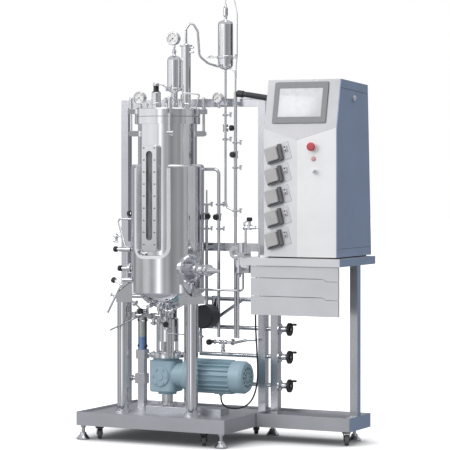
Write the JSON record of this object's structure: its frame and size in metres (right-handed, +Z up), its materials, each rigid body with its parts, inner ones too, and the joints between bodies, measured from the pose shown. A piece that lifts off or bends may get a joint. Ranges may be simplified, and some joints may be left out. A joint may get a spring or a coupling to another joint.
{
  "type": "pilot bioreactor",
  "caption": "Floor-standing pilot bioreactor: bottom-driven jacketed vessel on a tray skid with pipe rack, table with drawers and control cabinet.",
  "frame": {"origin": "middle of the footprint box, on the floor under the levelling feet", "axes": "+Z up, +X to the right seen from the front, the front with screen and sight glass faces -Y"},
  "size_m": [1.269, 0.6649, 2.0845],
  "materials": {
    "steel": "satin",
    "polished_steel": "polished",
    "glass": "clear",
    "black_plastic": "matte",
    "rubber": "matte",
    "gasket": "matte",
    "drive_paint": "semi-gloss",
    "dark_metal": "matte",
    "side_paint": "semi-gloss",
    "screen": "gloss",
    "pump_plastic": "matte",
    "red_plastic": "gloss",
    "gauge": "polished",
    "wheel": "matte"
  },
  "bodies": {
    "skid": {"cabinet_shell": "steel", "cabinet_side_panel": "side_paint", "cable_conduit": "rubber", "circulation_pump": "dark_metal", "condensate_trap": "steel", "condenser": "polished_steel", "control_tray": "steel", "drain_headers": "steel", "drive_lantern": "polished_steel", "exhaust_filter": "polished_steel", "exhaust_tubes": "polished_steel", "fan_cowl": "drive_paint", "flow_meter": "steel", "gearbox": "drive_paint", "harvest_valve": "steel", "hmi_panel": "screen", "inlet_filter": "polished_steel", "jacketed_vessel": "polished_steel", "levelling_feet": "steel", "lid_gasket": "gasket", "lid_lamp": "steel", "motor_cable": "rubber", "motor_housing": "drive_paint", "pipe_rack": "steel", "pressure_gauges": "gauge", "process_pipes": "steel", "pump_heads": "pump_plastic", "sampling_valves": "steel", "side_port": "polished_steel", "sight_glass": "glass", "sight_glass_frame": "polished_steel", "swing_bolts": "polished_steel", "vessel_legs": "polished_steel", "vessel_lid": "polished_steel", "vessel_tray": "steel", "work_table": "steel"},
    "drawer_top": {"drawer_top": "steel"},
    "drawer_middle": {"drawer_middle": "steel"},
    "drawer_bottom": {"drawer_bottom": "steel"},
    "castor_fork_front_left": {"castor_fork_front_left": "steel"},
    "castor_wheel_front_left": {"castor_wheel_front_left": "wheel"},
    "castor_fork_front_right": {"castor_fork_front_right": "steel"},
    "castor_wheel_front_right": {"castor_wheel_front_right": "wheel"},
    "castor_fork_rear_right": {"castor_fork_rear_right": "steel"},
    "castor_wheel_rear_right": {"castor_wheel_rear_right": "wheel"},
    "castor_fork_control": {"castor_fork_control": "steel"},
    "castor_wheel_control": {"castor_wheel_control": "wheel"},
    "motor_rotor": {"motor_rotor": "dark_metal"},
    "agitator": {"agitator": "steel"},
    "emergency_stop": {"emergency_stop": "red_plastic"},
    "key_switch": {"key_switch": "steel"},
    "handwheel_top": {"handwheel_top": "black_plastic"},
    "handwheel_middle": {"handwheel_middle": "black_plastic"},
    "handwheel_bottom": {"handwheel_bottom": "black_plastic"},
    "harvest_lever": {"harvest_lever": "steel"},
    "knob_steam": {"knob_steam": "black_plastic"},
    "knob_air": {"knob_air": "black_plastic"},
    "knob_water": {"knob_water": "black_plastic"},
    "knob_jacket": {"knob_jacket": "black_plastic"},
    "knob_trap": {"knob_trap": "black_plastic"}
  },
  "joints": [
    {"name": "drawer_top_slide", "type": "slide", "parent": "skid", "child": "drawer_top", "axis": [0, -1, 0], "range_m": [0, 0.2]},
    {"name": "drawer_middle_slide", "type": "slide", "parent": "skid", "child": "drawer_middle", "axis": [0, -1, 0], "range_m": [0, 0.2]},
    {"name": "drawer_bottom_slide", "type": "slide", "parent": "skid", "child": "drawer_bottom", "axis": [0, -1, 0], "range_m": [0, 0.2]},
    {"name": "castor_front_left_swivel", "type": "hinge", "parent": "skid", "child": "castor_fork_front_left", "pos_m": [-0.522, -0.2845, 0.06], "axis": [0, 0, 1], "continuous": true},
    {"name": "castor_front_left_roll", "type": "hinge", "parent": "castor_fork_front_left", "child": "castor_wheel_front_left", "pos_m": [-0.53154, -0.26692, 0.027], "axis": [-0.8788, -0.4772, 0], "continuous": true},
    {"name": "castor_front_right_swivel", "type": "hinge", "parent": "skid", "child": "castor_fork_front_right", "pos_m": [0.0325, -0.2865, 0.06], "axis": [0, 0, 1], "continuous": true},
    {"name": "castor_front_right_roll", "type": "hinge", "parent": "castor_fork_front_right", "child": "castor_wheel_front_right", "pos_m": [0.02296, -0.26892, 0.027], "axis": [-0.8788, -0.4772, 0], "continuous": true},
    {"name": "castor_rear_right_swivel", "type": "hinge", "parent": "skid", "child": "castor_fork_rear_right", "pos_m": [0.0635, 0.1975, 0.06], "axis": [0, 0, 1], "continuous": true},
    {"name": "castor_rear_right_roll", "type": "hinge", "parent": "castor_fork_rear_right", "child": "castor_wheel_rear_right", "pos_m": [0.05396, 0.21508, 0.027], "axis": [-0.8788, -0.4772, 0], "continuous": true},
    {"name": "castor_control_swivel", "type": "hinge", "parent": "skid", "child": "castor_fork_control", "pos_m": [0.5955, 0.0515, 0.06], "axis": [0, 0, 1], "continuous": true},
    {"name": "castor_control_roll", "type": "hinge", "parent": "castor_fork_control", "child": "castor_wheel_control", "pos_m": [0.60504, 0.03392, 0.027], "axis": [0.8788, 0.4772, 0], "continuous": true},
    {"name": "motor_spin", "type": "hinge", "parent": "skid", "child": "motor_rotor", "pos_m": [-0.0265, -0.0385, 0.298], "axis": [1, 0, 0], "continuous": true},
    {"name": "agitator_spin", "type": "hinge", "parent": "skid", "child": "agitator", "pos_m": [-0.2925, -0.0385, 0.9], "axis": [0, 0, 1], "continuous": true},
    {"name": "emergency_stop_push", "type": "slide", "parent": "skid", "child": "emergency_stop", "axis": [-0.063, 0.998, 0], "range_m": [0, 0.004], "stiffness_N_per_m": 600, "springref_m": -0.004},
    {"name": "key_turn", "type": "hinge", "parent": "skid", "child": "key_switch", "pos_m": [0.4995, -0.08288, 1.261], "axis": [-0.063, 0.998, 0], "range_deg": [0, 75]},
    {"name": "handwheel_top_turn", "type": "hinge", "parent": "skid", "child": "handwheel_top", "pos_m": [0.2675, 0.1345, 0.516], "axis": [1, 0, 0], "continuous": true},
    {"name": "handwheel_middle_turn", "type": "hinge", "parent": "skid", "child": "handwheel_middle", "pos_m": [0.2675, 0.1345, 0.385], "axis": [1, 0, 0], "continuous": true},
    {"name": "handwheel_bottom_turn", "type": "hinge", "parent": "skid", "child": "handwheel_bottom", "pos_m": [0.2675, 0.1345, 0.25], "axis": [1, 0, 0], "continuous": true},
    {"name": "harvest_lever_turn", "type": "hinge", "parent": "skid", "child": "harvest_lever", "pos_m": [-0.3265, -0.1425, 0.576], "axis": [0, 1, 0], "range_deg": [-90, 0]},
    {"name": "knob_steam_turn", "type": "hinge", "parent": "skid", "child": "knob_steam", "pos_m": [-0.0455, 0.0855, 1.467], "axis": [1, 0, 0], "range_deg": [0, 330]},
    {"name": "knob_air_turn", "type": "hinge", "parent": "skid", "child": "knob_air", "pos_m": [0.0075, 0.0855, 1.34], "axis": [0, -1, 0], "range_deg": [0, 330]},
    {"name": "knob_water_turn", "type": "hinge", "parent": "skid", "child": "knob_water", "pos_m": [-0.1465, 0.0855, 1.046], "axis": [0.6, -0.8, 0], "range_deg": [0, 330]},
    {"name": "knob_jacket_turn", "type": "hinge", "parent": "skid", "child": "knob_jacket", "pos_m": [-0.0815, 0.0855, 1.043], "axis": [0, -1, 0], "range_deg": [0, 330]},
    {"name": "knob_trap_turn", "type": "hinge", "parent": "skid", "child": "knob_trap", "pos_m": [0.1515, -0.0565, 1.04], "axis": [0, 0, 1], "range_deg": [0, 330]}
  ],
  "couplings": [
    {"joint": "agitator_spin", "follows": "motor_spin", "ratio": 0.2}
  ]
}
